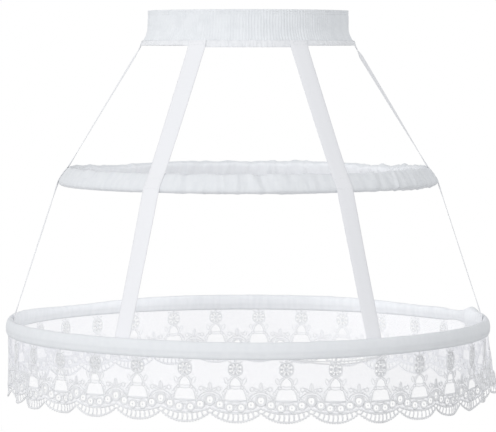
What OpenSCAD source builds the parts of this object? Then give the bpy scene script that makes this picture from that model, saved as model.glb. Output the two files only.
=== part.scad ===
// Two-hoop crinoline cage: an elastic waistband, six tapes that hang from it,
// two boned hoops in cloth casings and a scalloped lace hem.
// Millimetres, +Z up, the front faces -Y. The origin is on the axis of the cage,
// at half the height of the elastic band.

/* [Waistband] */
// Inside diameter of the elastic band
waist_bore_d = 195; // [170:1:230]
// Height of the elastic band
elastic_h = 30; // [24:1:40]
// Thickness of the elastic between its ribs
elastic_t = 2.2; // [1.6:0.1:3.5]
// Number of upright ribs round the elastic
rib_count = 120; // [80:1:150]
// How far a rib stands out from the elastic
rib_depth = 0.6; // [0.2:0.1:1]
// Height of the flared lower part of the elastic
flare_h = 9; // [6:0.5:14]
// How far the elastic leans out at its lower edge
flare_out = 4.2; // [2:0.1:7]

/* [Waist binding] */
// Height of the gathered strip sewn round the lower edge of the elastic
binding_h = 9; // [6:0.5:14]
// How far the strip laps over the elastic
binding_lap = 2; // [1:0.5:4]
// Thickness of the strip between its gathers
binding_t = 1.6; // [1:0.1:3]
// How far the strip leans out at its lower edge
binding_lean = 1.2; // [0:0.1:3]
// Number of gathers in the strip
binding_gathers = 80; // [40:1:90]
// How far a gather stands out from the strip
binding_gather_depth = 0.9; // [0.3:0.1:1.5]

/* [Tapes] */
// Width of a tape at the waist
tape_top_w = 19; // [14:0.5:24]
// Width of a tape at the lower hoop
tape_hem_w = 16; // [12:0.5:22]
// Thickness of a tape
tape_t = 0.7; // [0.4:0.1:1.2]
// Angle of a front tape from the centre of the front, at the waist
front_tape_angle = 27.5; // [20:0.5:40]
// How much further round a front tape is at the lower hoop
front_tape_spread = 2.5; // [0:0.1:6]
// Angle of a back tape from the centre of the back, at the waist
back_tape_angle = 29.8; // [20:0.1:40]
// How much further round a back tape is at the lower hoop
back_tape_spread = 3.2; // [0:0.1:6]

/* [Hoops] */
// Diameter of the middle hoop at the centre of its casing
middle_hoop_d = 364; // [320:1:420]
// Drop from the origin to the centre of the middle casing
middle_hoop_drop = 150; // [120:1:180]
// Diameter of the lower hoop at the centre of its casing
lower_hoop_d = 477; // [440:1:560]
// Drop from the origin to the centre of the lower casing
lower_hoop_drop = 299; // [260:1:360]
// How much more than its tapes the middle casing leans out
middle_kick = 5; // [2:0.5:10]
// Lean of the lower casing from upright
lower_tilt = 6; // [0:0.5:12]

/* [Casings] */
// Thickness of the casing cloth
casing_wall = 1.3; // [0.9:0.1:2]
// Slack in the middle casing above its bone
middle_slack = 7.5; // [3:0.5:12]
// Puff of the casings across the bone
casing_puff = 1; // [0.3:0.1:3]
// Number of gathers round the middle casing
casing_gathers = 47; // [30:1:48]
// How far a gather stands out from the middle casing
casing_gather_depth = 1.5; // [0.5:0.1:3]
// Height of the seam under the lower bone that takes the lace
seam_h = 4; // [3:0.5:8]
// Length over which the two ends of the lower casing lap
lap_l = 15; // [8:1:24]
// Extra thickness of the casing where its ends lap
lap_t = 0.9; // [0.5:0.1:1.5]

/* [Bones] */
// Width of the flat bone in each hoop
bone_w = 8; // [5:0.5:10]
// Thickness of the bone
bone_t = 1.6; // [0.8:0.1:2.5]
// Gap between the two ends of a bone
bone_split = 2; // [1:0.5:6]
// Length of the sleeve over the ends of a bone
joiner_l = 36; // [24:1:60]
// Thickness of the sleeve
joiner_wall = 0.5; // [0.3:0.1:1]
// Azimuth of the join in the middle hoop, from the centre of the front
middle_join_angle = 180; // [170:1:190]
// Azimuth of the join in the lower hoop, from the centre of the front
lower_join_angle = 107; // [100:1:130]

/* [Lace] */
// Number of scallops round the hem
scallop_count = 32; // [24:1:36]
// Turn of the lace from the centre of the front to its nearest scallop
lace_turn = -2.4; // [-6:0.1:6]
// Drop of the net with its medallion, from the casing to the tent opening
net_h = 16.5; // [12:0.5:22]
// Height of the tent opening under a medallion
tent_h = 19; // [12:0.5:26]
// Height of the band of rings under the tent
ring_h = 11; // [7:0.5:16]
// Height of the crescent openings under the rings
fan_h = 9; // [6:0.5:14]
// Height of the corded lower edge
cord_h = 3.5; // [2.5:0.5:6]
// How far the lower edge rises between two scallops
scallop_rise = 12; // [6:0.5:14]
// Thickness of the net
net_t = 0.8; // [0.6:0.1:1.2]
// Thickness of the corded part of the lace
cord_t = 1.4; // [1:0.1:2]
// Depth of the flutes in the lower edge of the lace
flute_depth = 3; // [0:0.5:5]

/* [Fit] */
// Clearance between pieces that are sewn or slid together
fit_gap = 0.25; // [0.15:0.05:0.4]

/* [Hidden] */
$fn = 180;

cloth_colour = [0.94, 0.94, 0.95];
tape_colour = [0.97, 0.97, 0.98];
bone_colour = [0.85, 0.86, 0.88];
joiner_colour = [0.62, 0.64, 0.67];

// Each tape's azimuth at the waist, from the centre of the front towards +X, and its turn on the way down
side_tape_angle = 90;
tapes = [[-front_tape_angle, -front_tape_spread], [front_tape_angle, front_tape_spread],
    [-side_tape_angle, 0], [side_tape_angle, 0],
    [back_tape_angle - 180, back_tape_spread], [180 - back_tape_angle, -back_tape_spread]];

// Elastic: heights of its outline and how far it leans out at each
bore_r = waist_bore_d / 2;
elastic_top = elastic_h / 2;
elastic_foot = -elastic_h / 2;
flare_steps = [[elastic_top, 0], [elastic_foot + flare_h, 0],
    [elastic_foot + flare_h * 0.45, flare_out * 0.3], [elastic_foot, flare_out]];

// Binding: it starts just outside the flared edge of the elastic
binding_top = elastic_foot + binding_lap;
binding_foot = binding_top - binding_h;
binding_r = bore_r + flare_out + elastic_t + rib_depth + fit_gap - binding_lean * binding_lap / binding_h;

// Sleeve and channel sizes that follow from the bone
joiner_w = bone_w + 2 * (fit_gap + joiner_wall);
joiner_t = bone_t + 2 * (fit_gap + joiner_wall);
channel_t = joiner_t + 2 * fit_gap + casing_puff;
casing_t = channel_t + 2 * casing_wall;
middle_channel_h = joiner_w + 2 * fit_gap + middle_slack;
middle_casing_h = middle_channel_h + 2 * casing_wall;
lower_channel_h = joiner_w + 2 * fit_gap + casing_puff;
lower_casing_h = lower_channel_h + casing_wall + seam_h;

// A hoop is its radius, height and lean at the centre of its casing
tape_slope = atan2(middle_hoop_d / 2 - binding_r, binding_foot + middle_hoop_drop);
middle_hoop = [middle_hoop_d / 2, -middle_hoop_drop, tape_slope + middle_kick];
lower_hoop = [lower_hoop_d / 2, -lower_hoop_drop, lower_tilt];

// Centres of the channels and bones, up the casing from its own centre
middle_bone_up = -middle_channel_h / 2 + 2 * fit_gap + joiner_w / 2;
lower_channel_up = (seam_h - casing_wall) / 2;
lower_bone_up = lower_channel_up - lower_channel_h / 2 + fit_gap + joiner_w / 2;

// Lace: it starts inside the seam groove of the lower casing
groove_h = seam_h - casing_wall;
groove_t = net_t + 2 * fit_gap;
lace_head_h = groove_h - fit_gap;
lace_rows = [net_h, tent_h, ring_h, fan_h, cord_h];

// A point of a hoop's section, as radius and height: up its face, and out from it
function hoop_point(hoop, up, out) = [
    hoop[0] - up * sin(hoop[2]) + out * cos(hoop[2]),
    hoop[1] + up * cos(hoop[2]) + out * sin(hoop[2])];

// A radius and height turned to an azimuth
function turned(rz, angle) = [rz[0] * sin(angle), -rz[0] * cos(angle), rz[1]];

// Smallest angle between two azimuths
function apart(a, b) = let (d = abs(a - b) % 360) min(d, 360 - d);

// Share of the way down a tape, from the foot of the binding to the lower hoop
function way_down(height) = max(0, (binding_foot - height) / (binding_foot + lower_hoop_drop));

// 0 where a tape is sewn down flat, rising to 1 in the cloth between the tapes
function free_cloth(angle, radius, height) = let (
    near = min([for (t = tapes) apart(angle, t[0] + t[1] * way_down(height))]) * radius * PI / 180,
    rise = min(1, max(0, (near - tape_top_w * 0.65) / tape_top_w))) rise * rise * (3 - 2 * rise);

// Uneven gathers between 0 and 1, a whole number of waves round the ring
function gather(angle, count) =
    0.5 + 0.3 * sin(count * angle) + 0.2 * sin(floor(count * 0.6) * angle + 70);

// Outline of a flat band with rounded edges: up the band, and across it
function band(h, t, n) = [for (i = [0:n - 1]) let (a = 360 * i / n)
    [h / 2 * sign(sin(a)) * pow(abs(sin(a)), 0.6), t / 2 * sign(cos(a)) * pow(abs(cos(a)), 0.6)]];

// The section of a hoop's casing, bone or sleeve as radii and heights
function hoop_band(hoop, up, h, t, n) = [for (p = band(h, t, n)) hoop_point(hoop, up + p[0], p[1])];

// Faces of a closed ring of n sections with m points each
function ring_faces(n, m) = [for (i = [0:n - 1], j = [0:m - 1]) let (
    a = i * m + j, b = i * m + (j + 1) % m,
    c = ((i + 1) % n) * m + (j + 1) % m, d = ((i + 1) % n) * m + j) each [[a, b, c], [a, c, d]]];

// A closed ring through sections that stand round the axis
module ring_solid(sections) {
    polyhedron(points = [for (s = sections) each s],
        faces = ring_faces(len(sections), len(sections[0])), convexity = 8);
}

module waist_elastic() {
    columns = 2 * rib_count;
    levels = len(flare_steps);
    rim = [for (i = [0:columns - 1], s = flare_steps)
        turned([bore_r + elastic_t + s[1] + (i % 2) * rib_depth, s[0]], 360 * i / columns)];
    sides = [for (i = [0:columns - 1], j = [0:levels - 2]) let (
        a = i * levels + j, b = ((i + 1) % columns) * levels + j) each [[a, b, b + 1], [a, b + 1, a + 1]]];
    top = [[for (i = [columns - 1:-1:0]) i * levels]];
    foot = [[for (i = [0:columns - 1]) i * levels + levels - 1]];
    color(cloth_colour) difference() {
        polyhedron(points = rim, faces = concat(sides, top, foot), convexity = 4);
        rotate_extrude() polygon(concat([[0, elastic_top + elastic_t], [bore_r, elastic_top + elastic_t]],
            [for (i = [1:levels - 1]) [bore_r + flare_steps[i][1], flare_steps[i][0]]],
            [[bore_r + flare_out, elastic_foot - elastic_t], [0, elastic_foot - elastic_t]]));
    }
}

module waist_binding() {
    stations = 2 * binding_gathers;
    color(cloth_colour) ring_solid([for (i = [0:stations - 1]) let (
        a = 360 * i / stations,
        puff = binding_gather_depth * free_cloth(a, binding_r, binding_foot) * (i % 2) * gather(a, 23),
        out = binding_r + binding_t + puff) [
        turned([binding_r, binding_top], a),
        turned([binding_r + binding_lean, binding_foot], a),
        turned([out + binding_lean, binding_foot + puff * 0.6], a),
        turned([out, binding_top - puff * 0.6], a)]]);
}

module middle_casing() {
    stations = 2 * casing_gathers;
    color(cloth_colour) difference() {
        ring_solid([for (i = [0:stations - 1]) let (
            a = 360 * i / stations,
            loose = free_cloth(a, middle_hoop[0], middle_hoop[1]),
            puff = casing_gather_depth * loose * gather(a, casing_gathers - 8),
            lift = puff * sin(a * 7 + 40))
            [for (p = band(middle_casing_h, casing_t, 8))
                turned(hoop_point(middle_hoop, p[0] + lift * max(0, p[0]) / middle_casing_h,
                    p[1] + puff * sign(p[1]) * 0.5), a)]]);
        rotate_extrude() polygon(hoop_band(middle_hoop, 0, middle_channel_h, channel_t, 16));
    }
}

module lower_casing() {
    lap = lap_l / lower_hoop[0] * 180 / PI;
    groove = [[-lower_casing_h, -1], [-lower_casing_h, 1],
        [groove_h - lower_casing_h / 2, 1], [groove_h - lower_casing_h / 2, -1]];
    color(cloth_colour) difference() {
        union() {
            rotate_extrude() polygon(hoop_band(lower_hoop, 0, lower_casing_h, casing_t, 24));
            rotate([0, 0, lower_join_angle - 90 - lap / 2]) rotate_extrude(angle = lap)
                polygon(hoop_band(lower_hoop, 0, lower_casing_h + 2 * lap_t, casing_t + 2 * lap_t, 24));
        }
        rotate_extrude() polygon(hoop_band(lower_hoop, lower_channel_up, lower_channel_h, channel_t, 16));
        rotate_extrude() polygon([for (p = groove) hoop_point(lower_hoop, p[0], p[1] * groove_t / 2)]);
    }
}

// A flat bone with rounded edges, bent to a hoop and split at one azimuth
module bone(hoop, up, angle) {
    split = bone_split / hoop[0] * 180 / PI;
    color(bone_colour) rotate([0, 0, angle - 90 + split / 2]) rotate_extrude(angle = 360 - split)
        polygon(hoop_band(hoop, up, bone_w, bone_t, 12));
}

// A flat sleeve over the split of a bone
module joiner(hoop, up, angle) {
    span = joiner_l / hoop[0] * 180 / PI;
    color(joiner_colour) rotate([0, 0, angle - 90 - span / 2]) rotate_extrude(angle = span) difference() {
        polygon(hoop_band(hoop, up, joiner_w, joiner_t, 16));
        polygon(hoop_band(hoop, up, bone_w + 2 * fit_gap, bone_t + 2 * fit_gap, 16));
    }
}

// A tape from the binding over the middle casing to the inside of the lower casing
module tape(t) {
    middle_reach = middle_casing_h * 0.4;
    lower_reach = lower_casing_h * 0.4;
    bow = tape_hem_w * tape_hem_w / 8 / lower_hoop[0];
    path = [
        [binding_r + binding_t + fit_gap, binding_top],
        [binding_r + binding_t + binding_lean + fit_gap, binding_foot],
        hoop_point(middle_hoop, middle_reach, casing_t / 2 + fit_gap),
        hoop_point(middle_hoop, -middle_reach, casing_t / 2 + fit_gap),
        hoop_point(lower_hoop, lower_reach, -casing_t / 2 - fit_gap - bow - tape_t),
        hoop_point(lower_hoop, -lower_reach, -casing_t / 2 - fit_gap - bow - tape_t)];
    last = len(path) - 1;
    points = [for (i = [0:last]) let (
        way = path[min(last, i + 1)] - path[max(0, i - 1)],
        out = [-way[1], way[0]] * tape_t / norm(way),
        half = (tape_top_w + (tape_hem_w - tape_top_w) * way_down(path[i][1])) / 2,
        angle = t[0] + t[1] * way_down(path[i][1]),
        across = [cos(angle), sin(angle), 0] * half)
        each [turned(path[i], angle) - across, turned(path[i], angle) + across,
            turned(path[i] + out, angle) + across, turned(path[i] + out, angle) - across]];
    walls = [for (i = [0:last - 1], j = [0:3]) let (a = i * 4 + j, b = i * 4 + (j + 1) % 4)
        each j == 2 ? [[a, b, a + 4], [b, b + 4, a + 4]] : [[a, b, b + 4], [a, b + 4, a + 4]]];
    color(tape_colour)
        polyhedron(points = points, faces = concat(walls, [[3, 2, 1, 0], [for (j = [0:3]) last * 4 + j]]));
}

module tape_front_left() { tape(tapes[0]); }
module tape_front_right() { tape(tapes[1]); }
module tape_side_left() { tape(tapes[2]); }
module tape_side_right() { tape(tapes[3]); }
module tape_back_left() { tape(tapes[4]); }
module tape_back_right() { tape(tapes[5]); }
module middle_bone() { bone(middle_hoop, middle_bone_up, middle_join_angle); }
module middle_joiner() { joiner(middle_hoop, middle_bone_up, middle_join_angle); }
module lower_bone() { bone(lower_hoop, lower_bone_up, lower_join_angle); }
module lower_joiner() { joiner(lower_hoop, lower_bone_up, lower_join_angle); }

module lace_trim() {
    // Columns across one scallop, as shares of its width, on the three kinds of line
    even = [0, 0.08, 0.27, 0.46, 0.54, 0.73, 0.92];
    tent_head = [0, 0.12, 0.4, 0.47, 0.53, 0.6, 0.88];
    tent_foot = [0, 0.1, 0.31, 0.46, 0.54, 0.69, 0.9];
    across = [even, tent_head, tent_foot, even, even, even, even];
    per = len(even);
    columns = per * scallop_count;
    lines = len(lace_rows) + 2;
    cells = lines - 1;
    seam = hoop_point(lower_hoop, -lower_casing_h / 2, 0);

    // Drop of each line below the seam at a share of a scallop's width
    function line_drop(line, share) = let (
        plain = line < 2 ? 0 : lace_rows[0] + (line > 2 ? lace_rows[1] : 0) + (line > 3 ? lace_rows[2] : 0)
            + (line > 4 ? lace_rows[3] : 0) + (line > 5 ? lace_rows[4] : 0),
        bow = pow(abs(2 * share - 1), 2.2)) plain - scallop_rise * bow * [0, 0, 0, 0.15, 0.6, 1, 1][line];

    function lace_point(column, line, side) = let (
        share = across[max(0, line - 1)][column % per],
        angle = lace_turn + 360 * (floor(column / per) + share - 0.5) / scallop_count,
        drop = line_drop(line, share),
        wave = flute_depth * pow(drop / 50, 1.5) * (0.35 + 0.65 * pow(sin(angle), 2))
            * (0.6 * sin(17 * angle) + 0.4 * sin(26 * angle + 50)),
        thick = line > 2 ? cord_t : net_t) line == 0
            ? turned(hoop_point(lower_hoop, -lower_casing_h / 2 + lace_head_h, side * thick / 2), angle)
            : line == 1 ? turned(hoop_point(lower_hoop, -lower_casing_h / 2, side * thick / 2), angle)
            : turned([seam[0] + wave + side * thick / 2, seam[1] - drop], angle);

    // True where the cloth is cut away: the tent, and the crescents either side of the middle bar
    function is_gap(column, cell) = let (k = column % per)
        (cell == 2 && k >= 2 && k <= 4) || (cell == 4 && (k == 1 || k == 2 || k == 4 || k == 5));
    function is_cloth(column, cell) = cell >= 0 && cell < cells && !is_gap(column, cell);
    function at(column, line, side) = side * columns * lines + (column % columns) * lines + line;
    function quad(a, b, c, d) = [[a, b, c], [a, c, d]];

    color(cloth_colour) polyhedron(
        points = [for (side = [-1, 1], c = [0:columns - 1], l = [0:lines - 1]) lace_point(c, l, side)],
        faces = [for (c = [0:columns - 1], r = [0:cells - 1]) let (
            n = (c + 1) % columns, p = (c + columns - 1) % columns) if (is_cloth(c, r)) each concat(
            quad(at(c, r, 0), at(c, r + 1, 0), at(n, r + 1, 0), at(n, r, 0)),
            quad(at(c, r, 1), at(n, r, 1), at(n, r + 1, 1), at(c, r + 1, 1)),
            is_cloth(c, r - 1) ? [] : quad(at(c, r, 0), at(n, r, 0), at(n, r, 1), at(c, r, 1)),
            is_cloth(c, r + 1) ? []
                : quad(at(c, r + 1, 1), at(n, r + 1, 1), at(n, r + 1, 0), at(c, r + 1, 0)),
            is_cloth(p, r) ? [] : quad(at(c, r, 1), at(c, r + 1, 1), at(c, r + 1, 0), at(c, r, 0)),
            is_cloth(n, r) ? [] : quad(at(n, r, 0), at(n, r + 1, 0), at(n, r + 1, 1), at(n, r, 1)))],
        convexity = 10);
}

waist_elastic();
waist_binding();
tape_front_left();
tape_front_right();
tape_side_left();
tape_side_right();
tape_back_left();
tape_back_right();
middle_casing();
middle_bone();
middle_joiner();
lower_casing();
lower_bone();
lower_joiner();
lace_trim();
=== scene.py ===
import math
import random
import bpy
import numpy as np
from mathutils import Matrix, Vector


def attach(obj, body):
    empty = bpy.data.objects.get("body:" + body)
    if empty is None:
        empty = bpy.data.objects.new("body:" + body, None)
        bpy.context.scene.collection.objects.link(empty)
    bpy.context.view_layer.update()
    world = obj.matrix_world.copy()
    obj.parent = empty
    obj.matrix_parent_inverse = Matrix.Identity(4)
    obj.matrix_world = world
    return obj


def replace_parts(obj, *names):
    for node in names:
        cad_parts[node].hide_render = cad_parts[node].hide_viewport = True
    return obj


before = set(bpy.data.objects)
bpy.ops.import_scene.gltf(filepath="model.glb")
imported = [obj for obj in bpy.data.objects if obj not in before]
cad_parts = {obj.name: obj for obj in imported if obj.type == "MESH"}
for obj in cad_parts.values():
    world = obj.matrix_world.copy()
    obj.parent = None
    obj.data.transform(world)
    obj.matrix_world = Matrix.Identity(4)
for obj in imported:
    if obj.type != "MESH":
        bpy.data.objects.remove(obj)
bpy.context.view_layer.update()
print("frame loaded:", len(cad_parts), "nodes")

mm = 0.001


def addObject(name, data):
    made = bpy.data.objects.new(name, data)
    bpy.context.scene.collection.objects.link(made)
    return made


# the photo's camera: far away, just below the waist, looking slightly down
cameraPlan = dict(distance=2.7, eyeHeight=-28.65 * mm, pitch=3.43, reach=60,
                  focalPixels=2700, pictureWidth=496, sensor=36)
cameraData = bpy.data.cameras.new("photoCamera")
cameraData.lens = cameraPlan["focalPixels"] / cameraPlan["pictureWidth"] * cameraPlan["sensor"]
cameraData.sensor_width = cameraPlan["sensor"]
cameraData.clip_end = cameraPlan["reach"]
camera = addObject("photoCamera", cameraData)
camera.location = (0, -cameraPlan["distance"], cameraPlan["eyeHeight"])
camera.rotation_euler = (math.radians(90 - cameraPlan["pitch"]), 0, 0)
bpy.context.scene.camera = camera
bpy.context.scene.view_settings.view_transform = "Standard"
print("camera set")


def nodeBox(name):
    # the lowest and highest corner of a CAD node, in metres
    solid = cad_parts[name]
    corners = np.array([solid.matrix_world @ Vector(corner) for corner in solid.bound_box], float)
    return corners.min(0), corners.max(0)


def operators(operation):
    # an operator on wires and its reflected form
    def plain(wire, other):
        return wire.maths(operation, wire, other)

    def reflected(wire, other):
        return wire.maths(operation, other, wire)
    return plain, reflected


class Wire:
    # a node socket that can stand in a sum
    def __init__(self, graph, socket):
        self.graph = graph
        self.socket = socket

    def maths(self, operation, first, second):
        return self.graph.node("Math", {0: first, 1: second}, operation=operation)

    def pick(self, name):
        return Wire(self.graph, self.socket.node.outputs[name])

    __add__, __radd__ = operators("ADD")
    __sub__, __rsub__ = operators("SUBTRACT")
    __mul__, __rmul__ = operators("MULTIPLY")
    __truediv__, __rtruediv__ = operators("DIVIDE")


class Graph:
    # a node tree, with its maths written as expressions on wires
    def __init__(self, tree, outputKind):
        self.tree = tree
        self.tree.nodes.clear()
        self.output = self.tree.nodes.new("ShaderNode" + outputKind)

    def node(self, kind, sockets=None, out=0, **settings):
        made = self.tree.nodes.new("ShaderNode" + kind)
        for key, value in settings.items():
            setattr(made, key, value)
        for key, value in (sockets or {}).items():
            if isinstance(value, Wire):
                self.tree.links.new(value.socket, made.inputs[key])
            else:
                made.inputs[key].default_value = value
        return Wire(self, made.outputs[out])

    def end(self, wire):
        self.tree.links.new(wire.socket, self.output.inputs[0])

    def seen(self):
        # 1 on the way to the camera, also by a mirror or through glass
        rays = self.node("LightPath", out="Is Camera Ray")
        mirrored = rays.maths("MAXIMUM", rays, rays.pick("Is Glossy Ray"))
        return rays.maths("MAXIMUM", mirrored, rays.pick("Is Transmission Ray"))


class Finish(Graph):
    # one procedural material
    def __init__(self, name, sockets):
        self.material = bpy.data.materials.new(name)
        self.material.use_nodes = True
        super().__init__(self.material.node_tree, "OutputMaterial")
        self.shader = self.node("BsdfPrincipled", sockets)
        self.end(self.shader)

    def feed(self, name, wire):
        self.tree.links.new(wire.socket, self.shader.socket.node.inputs[name])

    def weaveMap(self):
        return self.node("UVMap", uv_map="weave")

    def place(self):
        # the weave map, in metres: along the piece, and across it
        both = self.node("SeparateXYZ", {0: self.weaveMap()})
        return both.pick("X"), both.pick("Y")

    def wave(self, along, pitch):
        return self.node("Math", {0: along * (math.tau / pitch)}, operation="SINE")

    def ridges(self, along, pitch):
        # 0 in the furrows, 1 on the ridges
        return self.wave(along, pitch) * 0.5 + 0.5

    def weave(self, first, second, pitch):
        return self.wave(first, pitch) * self.wave(second, pitch) * 0.5 + 0.5

    def smooth(self, wire, low, high):
        return self.node("MapRange", {0: wire, 1: low, 2: high}, interpolation_type="SMOOTHSTEP")

    def objectPlace(self):
        return self.node("TexCoord", out="Object")

    def noise(self, scale, detail=3.0, spot=None):
        sockets = {"Vector": spot or self.objectPlace(), "Scale": scale, "Detail": detail}
        return self.node("TexNoise", sockets, "Fac")

    def shade(self, share, look):
        sockets = {0: share, 6: (*look["pale"], 1), 7: (*look["grey"], 1)}
        self.feed("Base Color", self.node("Mix", sockets, 2, data_type="RGBA"))

    def bump(self, height, look):
        strength, distance = look["relief"]
        sockets = {"Strength": strength, "Distance": distance, "Height": height}
        self.feed("Normal", self.node("Bump", sockets))


def elasticFinish():
    look = dict(pale=(0.845, 0.866, 0.892), grey=(0.775, 0.797, 0.825), weft=1.3 * mm,
                mottle=90.0, fuzz=1500.0, relief=(0.35, 0.15 * mm))
    made = Finish("ribbedElastic", {"Roughness": 0.78, "Specular IOR Level": 0.25, "Sheen Weight": 0.08})
    across = made.place()[1]
    mottle = made.smooth(made.noise(look["mottle"]), 0.35, 0.7)
    weft = made.ridges(across, look["weft"])
    made.shade(mottle * 0.55 + weft * 0.2, look)
    made.bump(weft + made.noise(look["fuzz"]) * 0.6, look)
    return made


def cottonFinish(name, pale, grey, crumple):
    look = dict(pale=pale, grey=grey, thread=0.55 * mm, streak=6.5 * mm, upright=0.3,
                relief=(0.4, 0.4 * mm))
    made = Finish(name, {"Specular IOR Level": 0.2, "Sheen Weight": 0.1})
    along, across = made.place()
    weave = made.weave(along, across, look["thread"])
    spot = {"X": along / look["streak"], "Y": across * (look["upright"] / look["streak"])}
    streaks = made.noise(1.0, 2.0, made.node("CombineXYZ", spot))
    shadedCrease = made.smooth(streaks, 0.36, 0.7)
    # the creases are painted a little darker, a painted shade, and crumple sets how much along with their
    # bump
    made.shade(shadedCrease * (0.6 * crumple) + weave * 0.15, look)
    made.feed("Roughness", 0.76 + shadedCrease * 0.1)
    made.bump(weave * 0.4 + streaks * (2.2 * crumple), look)
    return made


def tapeFinish():
    look = dict(pale=(0.865, 0.87, 0.897), grey=(0.81, 0.817, 0.845), rib=0.62 * mm, edge=1.9 * mm,
                slub=700.0, relief=(0.1, 0.12 * mm))
    made = Finish("wovenTape", {"Specular IOR Level": 0.3, "Sheen Weight": 0.06})
    along, across = made.place()  # across counts from the nearer edge
    rib = made.ridges(along, look["rib"])
    yarn = made.ridges(across, look["rib"] * 0.7)
    edge = 1 - made.smooth(across, look["edge"] * 0.55, look["edge"])
    slub = made.smooth(made.noise(look["slub"]), 0.45, 0.75)
    made.shade(edge * 0.4 + slub * 0.12 + rib * 0.08, look)
    made.feed("Roughness", 0.56 + rib * 0.12 + slub * 0.08)
    made.bump(rib * (1 - edge * 0.6) + yarn * 0.3, look)
    return made


def netFinish(name, cell, thread):
    look = dict(colour=(0.86, 0.865, 0.925, 1), slant=0.62, uneven=0.75, fuzz=900.0)
    made = Finish(name, {"Base Color": look["colour"], "Specular IOR Level": 0.2})
    slanted = {"Vector": made.weaveMap(), "Rotation": (0, 0, look["slant"])}
    spot = made.node("Mapping", slanted)
    cells = {"Vector": spot, "Scale": 1 / cell, "Randomness": look["uneven"]}
    edges = dict(voronoi_dimensions="2D", feature="DISTANCE_TO_EDGE")
    gap = made.node("TexVoronoi", cells, "Distance", **edges)
    made.feed("Alpha", 1 - made.smooth(gap, thread * 0.7, thread * 1.3))
    made.feed("Roughness", 0.72 + made.noise(look["fuzz"]) * 0.15)
    return made


def clothworkFinish():
    look = dict(pale=(0.885, 0.892, 0.91), grey=(0.79, 0.798, 0.823), thread=0.7 * mm, solid=0.65,
                relief=(0.5, 0.2 * mm))
    made = Finish("laceClothwork", {"Roughness": 0.76, "Specular IOR Level": 0.22})
    along, across = made.place()
    weave = made.weave(along + across, along - across, look["thread"])
    made.shade(weave * 0.7, look)
    made.feed("Alpha", made.smooth(weave, 0.02, 0.2) * (1 - look["solid"]) + look["solid"])
    made.bump(weave, look)
    return made


def cordFinish(name, pale, grey, twist, slant, relief, rough, gloss):
    look = dict(pale=pale, grey=grey, twist=twist, slant=slant, relief=relief)
    made = Finish(name, {"Roughness": rough, "Specular IOR Level": gloss})
    along, across = made.place()
    twist = made.ridges(along + across * look["slant"], look["twist"])
    # the furrows between the twists are painted darker: painted shade in the furrows, besides the bump
    made.shade((1 - twist) * 0.5, look)
    made.bump(twist, look)
    return made


def boneFinish():
    look = dict(pale=(0.84, 0.85, 0.87), grey=(0.74, 0.75, 0.77), streak=300.0,
                relief=(0.15, 0.1 * mm))
    made = Finish("coatedBone", {"Roughness": 0.45})
    streak = made.smooth(made.noise(look["streak"]), 0.4, 0.7)
    made.shade(streak * 0.5, look)
    made.bump(streak, look)
    return made


def joinerFinish():
    look = dict(pale=(0.62, 0.64, 0.67), grey=(0.45, 0.46, 0.49), brush=1200.0)
    made = Finish("pressedSleeve", {"Metallic": 1.0})
    brush = made.noise(look["brush"], 2.0)
    made.shade(brush * 0.5, look)
    made.feed("Roughness", 0.28 + brush * 0.2)
    return made


laceTwist = dict(twist=0.9 * mm, slant=1.4, relief=(0.45, 0.15 * mm), rough=0.7, gloss=0.25)
threadTwist = dict(twist=0.5 * mm, slant=1.0, relief=(0.4, 0.08 * mm), rough=0.55, gloss=0.35)
finishes = {
    "elastic": elasticFinish(),
    "cotton": cottonFinish("gatheredCotton", (0.835, 0.853, 0.877), (0.735, 0.757, 0.79), 0.75),
    "cottonBright": cottonFinish("brightCotton", (0.885, 0.895, 0.92), (0.80, 0.812, 0.84), 1.2),
    "cottonSmooth": cottonFinish("smoothCotton", (0.845, 0.863, 0.887), (0.765, 0.787, 0.82), 0.4),
    # a paler copy of the cotton for the inner half of the casings: painted light on the inner cloth of the
    # far side
    "cottonInsidePaintedLight": cottonFinish("innerCottonPaintedLight", (0.885, 0.898, 0.925), (0.79, 0.808, 0.84), 0.7),
    "tape": tapeFinish(),
    "net": netFinish("laceNet", 1.0 * mm, 0.098),
    "netOpen": netFinish("laceNetOpen", 1.3 * mm, 0.06),
    "clothwork": clothworkFinish(),
    "thread": cordFinish("sewingThread", (0.85, 0.8575, 0.8725), (0.75, 0.7625, 0.7875), **threadTwist),
    "cord": cordFinish("laceCord", (0.9, 0.905, 0.92), (0.8, 0.807, 0.83), **laceTwist),
    # a paler copy of the cord for the faces that look inwards: painted light, so the far lace seen from
    # inside looks brightly lit
    "cordInsidePaintedLight": cordFinish("laceCordPaintedLight", (0.965, 0.968, 0.98), (0.91, 0.916, 0.935), **laceTwist),
    "bone": boneFinish(),
    "joiner": joinerFinish(),
}
print("finishes made:", len(finishes))


def turned(radius, height, azimuth):
    # azimuth in degrees from the centre of the front towards +X
    a = np.radians(azimuth)
    return np.stack(np.broadcast_arrays(radius * np.sin(a), -radius * np.cos(a), height), -1)


def outward(azimuth):
    return turned(1.0, 0.0, azimuth)


def wrapped(angle):
    # the same angle between -180 and 180 degrees
    return (angle + 180) % 360 - 180


def hump(x, at, wide):
    # 1 at the given place, fading away on both sides
    return np.exp(-((x - at) / wide) ** 2)


def squared(wave, power):
    # a sine pressed towards a square wave
    return np.sign(wave) * np.abs(wave) ** power


def runAlong(path):
    # the distance of each point from the start of a line
    return np.concatenate([[0], np.cumsum(np.linalg.norm(np.diff(path, axis=0), axis=1))])


def unit(rows):
    return rows / (np.linalg.norm(rows, axis=1)[:, None] + 1e-12)


def ringSteps(count, whole=360):
    # even angles round a ring, in degrees unless the whole turn is given
    return np.arange(count) * whole / count


def evenSteps(length, count):
    return np.arange(count + 1) / count * length


def weaveGrid(along, across):
    # the weave map of a grid, from its distances both ways
    return np.stack(np.meshgrid(along, across, indexing="ij"), -1)


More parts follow.
